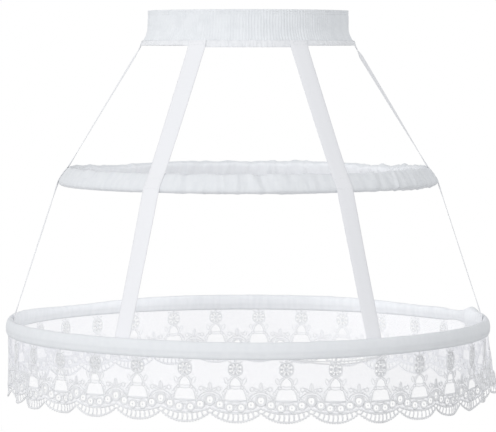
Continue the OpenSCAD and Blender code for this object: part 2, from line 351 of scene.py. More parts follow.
def roll(count, azimuth, seed, octaves, base):
    # smooth noise between about -1 and 1 that closes round the ring
    pick, fade, gain = random.Random(seed), 1.5, 1.6
    total, size = 0, 0
    for k in range(octaves):
        low = base * 2 ** k
        waves = [(low + pick.randint(0, low), pick.uniform(0, math.tau)) for _ in range(count)]
        total = total + sum(np.sin(np.radians(azimuth) * w + p) for w, p in waves) / count / fade ** k
        size += 1 / fade ** k
    return total / size * gain


class Heap:
    # gathers grids and tubes into one mesh, with a weave map in metres
    tip = 0.35  # how far the end of an open cord narrows
    point = 0.05  # and how small the tip is closed

    def __init__(self):
        self.points, self.faces, self.maps, self.slots = [], [], [], []
        self.count = 0

    def grid(self, points, weave, wrapU=False, wrapV=False, keep=None, slot=None):
        # weave has one more row or column than points where the grid wraps round
        n, m = points.shape[:2]
        shape = (n if wrapU else n - 1, m if wrapV else m - 1)
        keep = np.ones(shape, bool) if keep is None else keep
        slot = np.zeros(shape, np.int32) if slot is None else slot
        i, j = np.nonzero(keep)
        a, b = (i + 1) % n, (j + 1) % m
        quads = np.stack([i * m + j, a * m + j, a * m + b, i * m + b], 1)
        loops = np.stack([weave[i, j], weave[i + 1, j], weave[i + 1, j + 1], weave[i, j + 1]], 1)
        used, renumbered = np.unique(quads, return_inverse=True)
        self.points.append(points.reshape(-1, 3)[used])
        self.faces.append(renumbered.reshape(-1, 4) + self.count)
        self.maps.append(loops.reshape(-1, 2))
        self.slots.append(slot[keep])
        self.count += len(used)

    def tube(self, path, out, wide, high, sides=6, closed=False, backed=False):
        # a flat cord along path; out is the way its flat face looks
        wide, high = [np.broadcast_to(size, len(path)).copy() for size in (wide, high)]
        if not closed:  # each end narrows to a tip and is closed
            for size in (wide, high):
                size[[0, -1]] *= self.tip
            path, out = [np.concatenate([row[:1], row, row[-1:]]) for row in (path, out)]
            wide, high = [np.concatenate([size[:1] * self.point, size, size[-1:] * self.point])
                          for size in (wide, high)]
        ahead = np.roll(path, -1, 0) - np.roll(path, 1, 0)
        if not closed:
            ahead[:2] = path[2] - path[1]
            ahead[-2:] = path[-2] - path[-3]
        ahead = unit(ahead)
        beside = unit(np.cross(ahead, out))
        up = np.cross(beside, ahead)
        turn = ringSteps(sides, math.tau)
        sideways = beside[:, None] * (np.cos(turn) * wide[:, None])[..., None]
        upwards = up[:, None] * (np.sin(turn) * high[:, None])[..., None]
        run = runAlong(np.concatenate([path, path[:1]]) if closed else path)
        weave = weaveGrid(run, evenSteps(4 * float(np.mean(wide)), sides))
        slot = None
        # the second finish of the lace cords is a paler copy: painted light on the faces that look inwards
        if backed:  # the half that looks inwards has the second finish
            slot = np.broadcast_to(np.arange(sides) >= sides / 2, (len(run) - 1, sides)).astype(np.int32)
        self.grid(path[:, None] + sideways + upwards, weave, wrapU=closed, wrapV=True, slot=slot)

    def piece(self, name, finish, slotName, extra=()):
        points, faces = np.concatenate(self.points), np.concatenate(self.faces)
        mesh = bpy.data.meshes.new(name)
        mesh.from_pydata(points.tolist(), [], faces.tolist())
        mesh.polygons.foreach_set("use_smooth", np.ones(len(faces), dtype=bool))
        layer = mesh.uv_layers.new(name="weave")
        layer.uv.foreach_set("vector", np.concatenate(self.maps).astype(np.float32).ravel())
        for each in (finish, *extra):
            mesh.materials.append(finishes[each].material)
        mesh.polygons.foreach_set("material_index", np.concatenate(self.slots))
        mesh.validate()
        made = addObject(name, mesh)
        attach(made, "root")
        print("made", name, len(faces) * 2, "triangles")
        return made


# the hoops, as in the part's own solids; lean in degrees
low, high = nodeBox("lower_casing")
middleHoop = dict(radius=182 * mm, height=-150 * mm, lean=36.2, tall=20.1 * mm, thick=7.2 * mm)
lowerHoop = dict(radius=238.5 * mm, height=(low[2] + high[2]) / 2, lean=6.0, tall=16.3 * mm, thick=7.2 * mm)
sagPlan = dict(deep=1.5 * mm, at=8, wide=30)


def hoopPoint(hoop, up, out):
    # radius and height of a point on the leaning section of a hoop
    lean = math.radians(hoop["lean"])
    return (hoop["radius"] - up * math.sin(lean) + out * math.cos(lean),
            hoop["height"] + up * math.cos(lean) + out * math.sin(lean))


def frontSag(azimuth):
    # the lower hoop hangs a little lower at the front
    return sagPlan["deep"] * hump(wrapped(azimuth), sagPlan["at"], sagPlan["wide"])


# tapes: over the binding, outside the middle casing and inside the lower one
low, high = nodeBox("tape_side_left")  # as deep as the tape is wide
tapePlan = dict(
    topWidth=high[1] - low[1], hemWidth=16 * mm, thick=0.6 * mm,
    clear=0.08 * mm, topEnd=-15.4 * mm, waist=nodeBox("waist_binding")[0][2], fall=277 * mm,
    reach=0.4, tuckIn=0.45 * mm, insideGap=0.8 * mm, footGap=0.9 * mm, step=2.2 * mm,
    ripple=0.12 * mm, selvage=0.12 * mm,
    places=dict(front=(27.5, 2.5), side=(90, 0), back=(150.2, -3.2)),  # azimuth, and turn further down
    twist=dict(sideLeft=(-6, -4.6), sideRight=(13, 2.6)),  # above and below the middle hoop
)
tapes = {}
for place, (azimuth, spread) in tapePlan["places"].items():
    for hand, sign in (("Left", -1), ("Right", 1)):
        tapes[place + hand] = dict(
            node="tape_" + place + "_" + hand.lower(), azimuth=sign * azimuth, spread=sign * spread,
            twist=tapePlan["twist"].get(place + hand, (0, 0)))
# where a twisted tape hangs free: above the middle hoop and below it
twistPlan = dict(top=-24 * mm, fall=114 * mm, easeIn=0.06, easeOut=0.7,
                 lowerTop=-161 * mm, lowerFall=126 * mm, lowerEase=0.12)


def wayDown(height):
    # 0 at the foot of the waist binding, 1 at the lower hoop
    return np.clip((tapePlan["waist"] - height) / tapePlan["fall"], 0, 1)


def tapeAzimuth(tape, height):
    return tape["azimuth"] + tape["spread"] * wayDown(height)


def freeCloth(azimuth, radius, height):
    # 0 under a tape, rising to 1 in the cloth between the tapes
    gaps = [np.abs(wrapped(azimuth - tapeAzimuth(tape, height))) for tape in tapes.values()]
    near = np.radians(np.min(gaps, 0)) * radius
    rise = np.clip((near - tapePlan["topWidth"] * 0.6) / tapePlan["topWidth"], 0, 1)
    return rise * rise * (3 - 2 * rise)


def tapePath():
    # radius and height down the inner face of a tape
    p, middle, lower = tapePlan, middleHoop, lowerHoop
    binding = bindingPlan["radius"] + bindingPlan["thick"] + p["clear"]
    up, low = middle["tall"] * p["reach"], lower["tall"] * p["reach"]
    outside, inside = middle["thick"] / 2, -lower["thick"] * 0.33
    corners = np.array([
        (binding - bindingPlan["topThin"] * 0.8, p["topEnd"]),
        (binding + bindingPlan["lean"], p["waist"]),
        hoopPoint(middle, up, outside - p["tuckIn"]),
        hoopPoint(middle, up / 2, outside),
        hoopPoint(middle, -up / 2, outside),
        hoopPoint(middle, -up, outside - p["tuckIn"]),
        hoopPoint(lower, low, inside - p["insideGap"]),
        hoopPoint(lower, 0, -lower["thick"] / 2 - p["insideGap"]),
        hoopPoint(lower, -low, inside - p["footGap"])])
    line = []
    for a, b in zip(corners, corners[1:]):
        steps = max(2, int(math.dist(a, b) / p["step"]))
        line += [a + (b - a) * k / steps for k in range(steps)]
    line = np.array(line + [corners[-1]])
    for _ in range(3):  # ease the bends
        line[1:-1] = line[:-2] * 0.25 + line[1:-1] * 0.5 + line[2:] * 0.25
    return line


def tapeTwist(tape, height):
    # the slope of a turned tape, from side to side
    p = twistPlan
    upper = np.clip((p["top"] - height) / p["fall"], 0, 1)
    lower = np.clip((p["lowerTop"] - height) / p["lowerFall"], 0, 1)
    above, below = [math.tan(math.radians(angle)) for angle in tape["twist"]]
    upperTwist = above * np.clip(upper / p["easeIn"], 0, 1) * (1 - upper) ** p["easeOut"]
    return upperTwist + below * np.clip(np.minimum(lower, 1 - lower) / p["lowerEase"], 0, 1)


def makeTape(name):
    p, tape, line = tapePlan, tapes[name], tapePath()
    across = np.array([-1, -0.93, -0.8, -0.4, 0, 0.4, 0.8, 0.93, 1])
    n, m = len(line), len(across)
    ahead = unit(np.gradient(line, axis=0))
    out = np.stack([-ahead[:, 1], ahead[:, 0]], 1)
    run = runAlong(line)
    half = (p["topWidth"] + (p["hemWidth"] - p["topWidth"]) * wayDown(line[:, 1])) / 2
    azimuth = np.radians(tapeAzimuth(tape, line[:, 1]))
    phase = random.Random(name).uniform(0, 6)
    ripple = p["ripple"] * np.sin(run * 55 + phase) * np.sin(run / run[-1] * math.pi)
    twist = tapeTwist(tape, line[:, 1])
    rows = []
    for face in (1, -1):
        for k in across[::face]:
            edge = abs(k) > 0.9
            lift = p["thick"] * (0.5 + face * (0.32 if edge else 0.5)) + (ripple + twist * half) * k
            bead = p["selvage"] * (face > 0) * (0.75 < abs(k) < 0.9)  # the selvage stands a little proud
            at = line + out * (lift + bead)[:, None]
            rows.append(turned(at[:, 0], at[:, 1], np.degrees(azimuth + half * k / line[:, 0])))
    points = np.stack(rows, 1)
    fromEdge = 1 - np.abs(across)
    weave = weaveGrid(run, np.concatenate([fromEdge, fromEdge, [0]]) * p["topWidth"] / 2)
    heap = Heap()
    heap.grid(points, weave, wrapV=True)
    for end in (0, n - 1):  # close the two cut ends
        cap = np.stack([points[end, :m], points[end, m:][::-1]], 1)
        heap.grid(cap[::-1] if end else cap, np.zeros((m, 2, 2)))
    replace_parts(heap.piece("tape" + name[0].upper() + name[1:], "tape", "tape"), tape["node"])


# elastic waistband: upright ribs, pinched in along the sewn lines
elasticPlan = dict(
    bore=97.6 * mm, thick=2.1 * mm, top=nodeBox("waist_elastic")[1][2], foot=-16.4 * mm,
    flare=(15 * mm, 5.2 * mm, 1.8), boreFlare=(10.4 * mm, 4.4 * mm, 1.6),  # height, spread and power
    ribs=216, perRib=6, ribDepth=0.62 * mm, rows=24, boreRows=9, bulge=0.25 * mm,
    sewnLines=(12.6 * mm, 10.2 * mm), pinchWide=1.1 * mm, pinchDeep=0.25 * mm,
    outerEdge=0.5 * mm, boreEdge=0.4 * mm, weaveRadius=100 * mm, weaveTall=32 * mm,
)


def elasticFlare(flare, z):
    # how far the lower edge spreads at a height
    height, spread, power = flare
    return spread * max(0, (elasticPlan["foot"] + height - z) / height) ** power


def makeElastic():
    p = elasticPlan
    n = p["ribs"] * p["perRib"]
    azimuth = ringSteps(n)
    outer = np.linspace(p["top"] - p["outerEdge"], p["foot"] + p["outerEdge"], p["rows"])
    inner = np.linspace(p["foot"] + p["boreEdge"], p["top"] - p["boreEdge"], p["boreRows"])
    wander = roll(3, azimuth, 5, 3, 20) * 0.35  # the ribs are not quite evenly spaced
    phase = azimuth * p["ribs"] / 360 * math.tau + wander * 2.2
    depth = p["ribDepth"] * (0.75 + 0.35 * roll(4, azimuth, 8, 4, 9))
    columns = []
    for z in outer:
        nearest = min(abs(z - line) for line in p["sewnLines"])
        pinch = min(1.0, nearest / p["pinchWide"]) * 0.75 + 0.25
        drift = 0.5 * np.sin(np.radians(azimuth) * 31 + z * 260)
        rib = (0.5 + 0.5 * np.cos(phase + drift * 0.7)) ** 0.8
        bulge = p["bulge"] * roll(3, azimuth + z * 900, 21, 2, 6) - p["pinchDeep"] * (1 - pinch)
        radius = p["bore"] + p["thick"] + elasticFlare(p["flare"], z)
        columns.append(turned(radius + depth * rib * pinch + bulge, z, azimuth))
    for z in inner:
        columns.append(turned(p["bore"] + elasticFlare(p["boreFlare"], z), z, azimuth))
    around = [outer - p["foot"], inner - p["foot"] + p["weaveTall"], [2 * p["weaveTall"]]]
    weave = weaveGrid(evenSteps(math.tau * p["weaveRadius"], n), np.concatenate(around))
    heap = Heap()
    heap.grid(np.stack(columns, 1), weave, wrapU=True, wrapV=True)
    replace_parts(heap.piece("waistElastic", "elastic", "elastic"), "waist_elastic")


# gathered strip round the lower edge of the elastic, narrower outside the front tapes
bindingPlan = dict(
    radius=104.55 * mm, top=-15.2 * mm, foot=tapePlan["waist"], thick=1.6 * mm,
    lean=1.2 * mm, topThin=1.1 * mm, depth=1.25 * mm, edgeWave=0.6 * mm,
    columns=1680, around=14, sideRise=2.0 * mm, riseFrom=27, riseTo=36,
    weaveRadius=107 * mm, weaveRound=22 * mm,
)


def makeBinding():
    p = bindingPlan
    n = p["columns"]
    azimuth = ringSteps(n)
    loose = freeCloth(azimuth, p["radius"], p["foot"]) * 0.85 + 0.15
    gather = np.clip(0.45 + 0.55 * roll(5, azimuth, 31, 2, 70), 0, 1.25)
    fold = 0.5 + 0.5 * roll(4, azimuth, 33, 3, 24)
    sides = np.abs(wrapped(azimuth))
    rise = p["sideRise"] * np.clip((sides - p["riseFrom"]) / (p["riseTo"] - p["riseFrom"]), 0, 1)
    columns = []
    for a in ringSteps(p["around"], math.tau):
        up = squared(math.sin(a), 0.5) * 0.5  # a flat strip with rolled edges
        out = squared(math.cos(a), 0.5) * 0.5
        z = (p["top"] + p["foot"]) / 2 + up * (p["top"] - p["foot"])
        edge = p["edgeWave"] * loose * (gather - 0.5) * (abs(up) > 0.4) * (-1 if up > 0 else 0.4)
        radius = p["radius"] + p["thick"] * (0.5 + out) + p["lean"] * (0.5 - up)
        if out > 0:  # only the outer face is gathered, and it is thinner at the top
            radius = radius - p["topThin"] * (0.5 + up)
            radius = radius + p["depth"] * loose * (gather * (0.75 - 0.5 * up) + 0.3 * fold)
        columns.append(turned(radius, z + edge + rise * (0.5 - up), azimuth))
    weave = weaveGrid(evenSteps(math.tau * p["weaveRadius"], n), evenSteps(p["weaveRound"], p["around"]))
    heap = Heap()
    heap.grid(np.stack(columns, 1), weave, wrapU=True, wrapV=True)
    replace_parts(heap.piece("waistBinding", "cottonBright", "casing_cloth"), "waist_binding")


# casings: cloth tubes gathered on their bones
lapPlan = dict(azimuth=107.0, length=15 * mm, past=0.7 * mm, extra=0.9 * mm, ease=1.2 * mm,
               knob=3.2 * mm, knobAt=104.5, knobWide=2.7, neck=0.3, neckAt=115.0, neckWide=4.5)
casingPlan = dict(
    middle=dict(
        hoop=middleHoop, cloth="cotton", columns=1200, around=26, seed=71, puckers=130,
        depth=2.6 * mm, wide=(1.3, 4.6), rightward=1.3, underTape=0, edgeWave=1.6 * mm,
        ease=0.55, under=0.85, slump=4.2 * mm, farDrop=2.2 * mm,
        sewnLine=None, lap=None, sag=0),
    lower=dict(
        hoop=lowerHoop, cloth="cottonSmooth", columns=1440, around=30, seed=83, puckers=64,
        depth=0.8 * mm, wide=(3.0, 9.0), rightward=0.6, underTape=0.08, edgeWave=0.4 * mm,
        ease=0.9, under=1.0, slump=3.4 * mm, farDrop=0,
        sewnLine=-0.42, lap=lapPlan, sag=1),
)
# shared by both: the seam that is pulled in, and where the cloth sits lower on the far side
clothPlan = dict(pinch=0.2, pinchWide=0.1, soft=0.5 * mm, slant=5.4 * mm,
                 slumpAt=130, slumpWide=17, farAt=180, farWide=30)


def casingPuckers(plan, azimuth, up):
    # narrow upright creases at uneven steps, deeper round the right side
    pick, radius = random.Random(plan["seed"]), plan["hoop"]["radius"]
    height = np.zeros((len(azimuth), len(up)))
    place = 0.0
    while place < 360:
        place += 360 / plan["puckers"] * pick.uniform(0.45, 1.6)
        wide = math.degrees(pick.uniform(*plan["wide"]) * mm / radius)
        slant = math.degrees(pick.uniform(-1, 1) * clothPlan["slant"] / radius)
        deep = pick.uniform(0.25, 1.0) * pick.choice((1, 1, -0.6))
        deep *= 0.14 + plan["rightward"] * (0.5 + 0.5 * math.sin(math.radians(place))) ** 1.2
        fade = pick.uniform(-0.8, 0.8)
        gap = wrapped(azimuth[:, None] - place - slant * up)
        height += deep * hump(gap, 0, wide) * (1 - 0.5 * np.clip(fade * up, 0, 1))
    return height * plan["depth"]


def casingLap(lap, azimuth, radius):
    # what the lapped ends add to the cloth, and how far it narrows beside them
    gap = np.radians(np.abs(wrapped(azimuth - lap["azimuth"]))) * radius
    extra = np.clip((lap["length"] / 2 + lap["past"] - gap) / lap["ease"], 0, 1) * lap["extra"]
    knob = lap["knob"] * hump(azimuth, lap["knobAt"], lap["knobWide"])
    neck = lap["neck"] * hump(azimuth, lap["neckAt"], lap["neckWide"])
    return (extra + knob)[:, None], neck[:, None]


def makeCasing(name):
    plan, p = casingPlan[name], clothPlan
    hoop, n, m = plan["hoop"], plan["columns"], plan["around"]
    azimuth = ringSteps(n)
    turn = ringSteps(m, math.tau)
    up = squared(np.sin(turn), plan["ease"])
    out = squared(np.cos(turn), np.where(np.sin(turn) < 0, plan["under"], plan["ease"]))
    if plan["sewnLine"]:  # pulled in along the seam that holds the lace
        out = out * (1 - p["pinch"] * hump(up, plan["sewnLine"], p["pinchWide"]))
    loose = freeCloth(azimuth, hoop["radius"], hoop["height"])[:, None]
    puff = casingPuckers(plan, azimuth, up) * (loose * 0.92 + plan["underTape"])
    soft = (0.5 + 0.5 * roll(4, azimuth, plan["seed"] + 1, 3, 9))[:, None] * p["soft"] * loose
    upper = np.clip(up, 0, 1)
    edge = plan["edgeWave"] * roll(5, azimuth, plan["seed"] + 2, 3, 17)[:, None] * loose * upper
    sides = np.abs(wrapped(azimuth))  # the cloth sits lower on the far sides
    slump = plan["slump"] * hump(sides, p["slumpAt"], p["slumpWide"])
    slump = slump + plan["farDrop"] * hump(sides, p["farAt"], p["farWide"])
    edge = edge - slump[:, None] * upper
    tall, thick = hoop["tall"] / 2, hoop["thick"] / 2
    if plan["lap"]:
        extra, neck = casingLap(plan["lap"], azimuth, hoop["radius"])
        tall, thick = (tall + extra) * (1 - neck), (thick + extra) * (1 - neck * 0.7)
    swell = np.sign(out) * (puff * 0.75 + soft)
    r, z = hoopPoint(hoop, up * tall + edge, out * thick + swell)
    points = turned(r, z - plan["sag"] * frontSag(azimuth)[:, None], azimuth[:, None])
    around = 2 * (hoop["tall"] + hoop["thick"]) * 0.85
    weave = weaveGrid(evenSteps(math.tau * hoop["radius"], n), evenSteps(around, m))
    # the inner half of each casing takes the paler copy of its cotton: painted light on the inner cloth
    inside = np.broadcast_to(np.cos(turn + math.pi / m) < 0, (n, m)).astype(np.int32)
    heap = Heap()
    heap.grid(points, weave, wrapU=True, wrapV=True, slot=inside)
    made = heap.piece(name + "Casing", plan["cloth"], "casing_cloth", ["cottonInsidePaintedLight"])
    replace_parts(made, name + "_casing")
    return made


makeElastic()
makeBinding()
makeCasing("middle")
lowerCasing = makeCasing("lower")
for tapeName in tapes:
    makeTape(tapeName)

# lace hem: a fluted net sheet, with angles in degrees and sizes without mm in millimetres
lacePlan = dict(
    radius=239.35 * mm, seam=-307.1 * mm, repeats=32, turn=-2.8, flute=3.0, fluteAt=50,
    flutes=((17, 0, 0.6), (26, 50, 0.4)), tuck=2.2, tucks=41, headerLean=0.1,
    fold=dict(at=-90, wide=16, share=0.85), kick=dict(at=88, wide=9, out=6.0),
    sags=((33, 19, 4.6), (63, 20, 7.4), (-62, 26, 3.6), (-138, 18, 5.0), (140, 18, 4.0)),
    loose=dict(start=10.5, stop=31.0, drop=4.4, past=0.6, threads=(1.0, 0.55), thick=(0.62, 0.45)),
    knot=dict(before=0.8, long=2.6, drop=2.2, rise=3.4, thick=(1.0, 0.7)),
)
# the pattern of one repeat: millimetres across from its middle, and down from the seam
motifPlan = dict(
    drop=58.2, rise=8.7, header=2.4, cell=0.9, sheetShort=1.4, rimPast=1.0, arc=49.2,
    arcRise=4.6, cusp=23.5, archFoot=38.0, archHalf=11.5, archTall=9.0, beadPitch=2.6,
    sill=37.6, sillHalf=10.5, stripHalf=0.9, archStrip=0.5, archFrom=12.2,
    # across, down, radius and radius of the hole
    rings=[(-5.2, 43.6, 4.5, 2.9), (5.2, 43.6, 4.5, 2.9), (-14.4, 40.9, 4.7, 3.1), (14.4, 40.9, 4.7, 3.1),
           (23.5, 36.9, 5.6, 3.2)],
    # short cords that tie the rings together, with their half width
    links=[(0.6, (10.2, 37.4), (11.4, 38.2), (12.2, 38.0)), (0.6, (9.2, 41.2), (9.9, 40.7), (10.6, 40.4)),
           (0.6, (17.4, 38.4), (18.4, 37.8), (19.2, 37.4)), (0.5, (14.4, 36.4), (14.0, 34.6), (14.4, 33.0))],
)
bellPlan = dict(top=16.0, dome=24.0, domeHalf=5.4, domeCut=24.2, waist=26.4, waistHalf=4.4,
                skirtHalf=6.6, skirtOut=4.0, skirtTall=10.2, foot=36.8, cordFoot=37.0)
medalPlan = dict(at=8.2, half=6.7, tall=6.1, power=2.6, rim=0.8, eye=0.28, petals=8)
cusp = motifPlan["cusp"]
lacePitch = math.tau * lacePlan["radius"] / mm / lacePlan["repeats"]


def laceAzimuth(u):
    return lacePlan["turn"] + u / lacePitch * 360 / lacePlan["repeats"]


def laceAt(azimuth, drop, off=0.0):
    # azimuth in degrees, drop below the seam and off in millimetres
    p, fold, kick = lacePlan, lacePlan["fold"], lacePlan["kick"]
    a, turn = np.radians(azimuth), wrapped(azimuth)
    depth = np.clip(drop, 0, None) / p["fluteAt"]
    wave = sum(share * np.sin(count * a + math.radians(phase)) for count, phase, share in p["flutes"])
    wave = p["flute"] * depth ** 1.5 * (0.35 + 0.65 * np.sin(a) ** 2) * wave
    calm = 1 - fold["share"] * hump(turn, fold["at"], fold["wide"])  # one smooth fold at the left end
    wave = wave * calm + kick["out"] * depth * hump(turn, kick["at"], kick["wide"])  # out at the right end
    tuck = p["tuck"] * calm * depth ** 1.3 * np.sin(a) ** 4 * np.sin(p["tucks"] * a + 1.0)
    slip = sum(deep * hump(turn, at, wide) for at, wide, deep in p["sags"]) * np.clip(depth * 4, 0, 1)
    lean = p["headerLean"] * np.clip(-drop, 0, None)
    radius = p["radius"] + (wave + tuck + off - lean) * mm
    return turned(radius, p["seam"] - (drop + slip) * mm - frontSag(azimuth), azimuth)


def looseEdge(azimuth):
    # how far, in millimetres, the header hangs where its stitching has gone
    p = lacePlan["loose"]
    share = np.clip((wrapped(azimuth) - p["start"]) / (p["stop"] - p["start"]), 0, 1)
    return p["drop"] * np.sin(math.pi * share) ** 0.8


def fromCusp(u):
    # 0 at the middle of a scallop, 1 at the cusp between two
    return np.abs(2 * np.mod(u / lacePitch + 0.5, 1.0) - 1)


def scallopEdge(u):
    return motifPlan["drop"] - motifPlan["rise"] * fromCusp(u) ** 2.2


def innerArc(u):
    # the arc that carries the fan of bars
    return motifPlan["arc"] - motifPlan["arcRise"] * fromCusp(u) ** 1.8


def arch(u):
    # arch over the cusp ring
    share = np.clip((1 - fromCusp(u)) * lacePitch / 2 / motifPlan["archHalf"], 0, 1)
    return motifPlan["archFoot"] - motifPlan["archTall"] * np.sqrt(1 - share ** 2)


def bellWidth(d):
    # half the width of the bell: a dome, a waist and a skirt
    p = bellPlan
    tall = p["dome"] - p["top"]
    dome = p["domeHalf"] * np.sqrt(np.clip(1 - (np.clip(p["dome"] - d, 0, tall) / tall) ** 2, 0.02, 1))
    skirt = p["skirtHalf"] + p["skirtOut"] * np.clip((d - p["waist"]) / p["skirtTall"], 0, 1) ** 0.6
    return np.where(d < p["dome"], dome, np.where(d < p["waist"], p["waistHalf"], skirt))


def bellOpening(x, y):
    # the openings of dome and skirt, with the waist between them
    p = bellPlan
    waist = (y >= p["domeCut"]) & (y <= p["waist"])
    return (np.abs(x) < bellWidth(y)) & (y > p["top"]) & (y < p["foot"]) & ~waist


def medalParts(x, y):
    # the medallion, and the holes between its petals
    p = medalPlan
    far = np.abs(x / p["half"]) ** p["power"] + np.abs((y - p["at"]) / p["tall"]) ** p["power"]
    far = far ** (1 / p["power"])
    petal = np.cos(p["petals"] * np.arctan2(x, y - p["at"])) > 0.2
    return far < 1, (far < p["rim"]) & (far > p["eye"]) & ~petal


def makeLaceSheet():
    p, repeats = motifPlan, lacePlan["repeats"]
    perRepeat = int(round(lacePitch / p["cell"]))
    rows = int(round((p["drop"] + p["header"]) / p["cell"]))
    u = (np.arange(perRepeat * repeats + 1) / perRepeat - 0.5) * lacePitch
    d = np.linspace(-p["header"], p["drop"] - p["sheetShort"], rows + 1)
    local = (np.mod((u[:-1] + u[1:]) / 2 / lacePitch + 0.5, 1.0) - 0.5) * lacePitch
    x, y = np.meshgrid(local, (d[:-1] + d[1:]) / 2, indexing="ij")  # the middle of each cell
    keep = y < innerArc(x)
    cloth = np.zeros(keep.shape, bool)
    for middle, deep, big, hole in p["rings"]:
        for shift in (0, -lacePitch) if middle == cusp else (0,):  # the cusp ring lies in two repeats
            far = np.hypot(x - middle - shift, y - deep)
            ring = (far < big) & (far > hole)
            keep = (keep & (far >= big)) | ring
            cloth |= ring
    strip = np.abs(y - innerArc(x)) < p["stripHalf"]
    strip |= (np.abs(y - p["sill"]) < p["stripHalf"]) & (np.abs(x) < p["sillHalf"])
    strip |= (np.abs(y - arch(x)) < p["archStrip"]) & (np.abs(x) > p["archFrom"])
    strip |= (y > scallopEdge(x) - 2 * p["rimPast"]) & (y < scallopEdge(x) - p["rimPast"])
    medal, holes = medalParts(x, y)
    cloth |= strip | (medal & ~holes)
    azimuth = laceAzimuth(u[:-1])
    loose = looseEdge(azimuth)[:, None]
    keep = (keep | strip) & ~holes & ((loose < 0.2) | (y > loose))
    slot = np.where(cloth, 1, bellOpening(x, y) * 2).astype(np.int32)
    heap = Heap()
    points = laceAt(azimuth[:, None], d)
    heap.grid(points, weaveGrid(u * mm, d * mm), wrapU=True, keep=keep, slot=slot)
    made = heap.piece("laceSheet", "net", "lace", ["clothwork", "netOpen"])
    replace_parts(made, "lace_trim")
    flat = (math.tau * lacePlan["radius"], (p["drop"] + p["rimPast"]) * mm)
    return made, flat, float(keep.sum()) * (lacePitch / perRepeat) * (d[1] - d[0]) * mm * mm


def curve(*knots, steps=5):
    # a smooth line through the knots
    knots = np.array(knots, float)
    line = []
    for k in range(len(knots) - 1):
        a, b, c, e = knots[max(0, k - 1)], knots[k], knots[k + 1], knots[min(len(knots) - 1, k + 2)]
        for t in np.arange(steps) / steps:
            bend = (2 * a - 5 * b + 4 * c - e) * t * t + (3 * b - a - 3 * c + e) * t ** 3
            line.append(0.5 * (2 * b + (c - a) * t + bend))
    return np.array(line + [knots[-1]])


def loop(x, y, r, steps, tall=1.0, drip=0.0):
    # a ring, or a teardrop that points down
    a = ringSteps(steps, math.tau)
    return np.stack([x + r * np.sin(a) * (1 + drip * np.cos(a)), y - r * tall * np.cos(a)], 1)


def leaf(x, y, way, long, fat):
    # the two sides of a leaf that starts at x, y and points way degrees up from +u
    a, t = math.radians(way), np.linspace(0, math.pi, 8)
    run = (1 - np.cos(t)) / 2 * long
    return [np.stack([x + run * math.cos(a) - np.sin(t) * fat * s * math.sin(a),
                      y - run * math.sin(a) - np.sin(t) * fat * s * math.cos(a)], 1) for s in (-1, 1)]


motif = []  # every cord of one repeat: line, half width, half height, closed, lift off the net


def cord(line, wide, high, closed=False, off=0.35):
    motif.append((np.array(line, float), wide, high, closed, off))


def cordRing(x, y, r, steps, wide, high=0.5):
    cord(loop(x, y, r, steps), wide, high, True)


def cordSpokes(x, y, count, near, far, wide, high):
    # near and far are the half width and half height that a spoke runs between
    for a in ringSteps(count, math.tau):
        ends = [(x + math.sin(a) * across, y - math.cos(a) * up) for across, up in (near, far)]
        cord(ends, wide, high)


def edgeCords():
    edge = np.linspace(-lacePitch / 2, lacePitch / 2, 76)
    bead = np.cos(edge * math.tau / motifPlan["beadPitch"])  # the rim swells into a row of beads
    rim = np.stack([edge, scallopEdge(edge) - 1.3 + 0.45 * bead], 1)
    cord(rim, 0.85 + 0.3 * bead, 0.75, off=0.2)
    cord(np.stack([edge, innerArc(edge)], 1)[::2], 0.75, 0.7)
    for x in np.linspace(-0.41, 0.41, 10) * lacePitch:  # the fan of bars, wider apart at the rim
        foot = x * 1.14
        middle = ((x + foot) / 2 + 0.5, (innerArc(x) + scallopEdge(foot) - 2) / 2)
        bar = [(x, innerArc(x)), middle, (foot, scallopEdge(foot) - 1.8)]
        cord(bar, np.array([1.7, 1.0, 1.6]), 0.55, off=0.1)


def ringCords():
    for x, y, big, hole in motifPlan["rings"]:
        drip = 0.22 if x == cusp else 0.0  # the cusp ring is a teardrop with a double line
        cord(loop(x, y, big - 0.85, 18, 1.0, drip), 0.8 + drip, 0.8, True)
        cordRing(x, y + drip * 2, 0.42, 6, 0.4)  # the dot in the ring, on its two threads
        cord([(x, y - hole), (x, y + hole)], 0.2, 0.3)
        if drip:
            cord(loop(x, y, hole + 0.3, 14, 1.15, drip), 0.6, 0.7, True)


def archCords():
    foot = motifPlan["archFoot"]
    over = np.linspace(-11.3, 11.3, 21)
    cord(np.stack([cusp + over, arch(cusp + over)], 1), 0.52, 0.6)
    inner = np.linspace(-8.8, 8.8, 17)
    cord(np.stack([cusp + inner, foot - 7.0 * np.sqrt(1 - (inner / 8.9) ** 2)], 1), 0.38, 0.5)
    for a in np.radians((35, 62, 90, 118, 145)):  # short struts between the two arches
        across, up = math.cos(a), math.sin(a)
        ends = [(cusp + 8.7 * across, foot - 6.9 * up), (cusp + 11.2 * across, foot - 8.9 * up)]
        cord(ends, 0.32, 0.4)
    t = np.linspace(0.12, math.pi - 0.12, 17)  # dome over the middle pair of rings
    cord(np.stack([10.2 * np.cos(t), 44.6 - 6.2 * np.sin(t)], 1), 0.6, 0.6)


def flowerCords(side):
    # the flower and leaves on one side of the cusp
    cordRing(cusp + side * 8.3, 26.4, 1.9, 11, 0.5, 0.55)
    cordSpokes(cusp + side * 8.3, 26.4, 6, (2.3, 2.3), (3.9, 3.9), 0.42, 0.45)
    cordRing(cusp + side * 12.6, 30.4, 1.6, 9, 0.38, 0.45)
    cordRing(cusp + side * 4.0, 27.3, 1.35, 8, 0.36, 0.45)
    leaves = leaf(cusp + side * 1.2, 28.6, 90 - side * 62, 6.2, 1.2)
    for line in leaves + leaf(side * 7.0, 21.8, 90 - side * 26, 6.4, 1.5):
        cord(line, 0.38, 0.45)


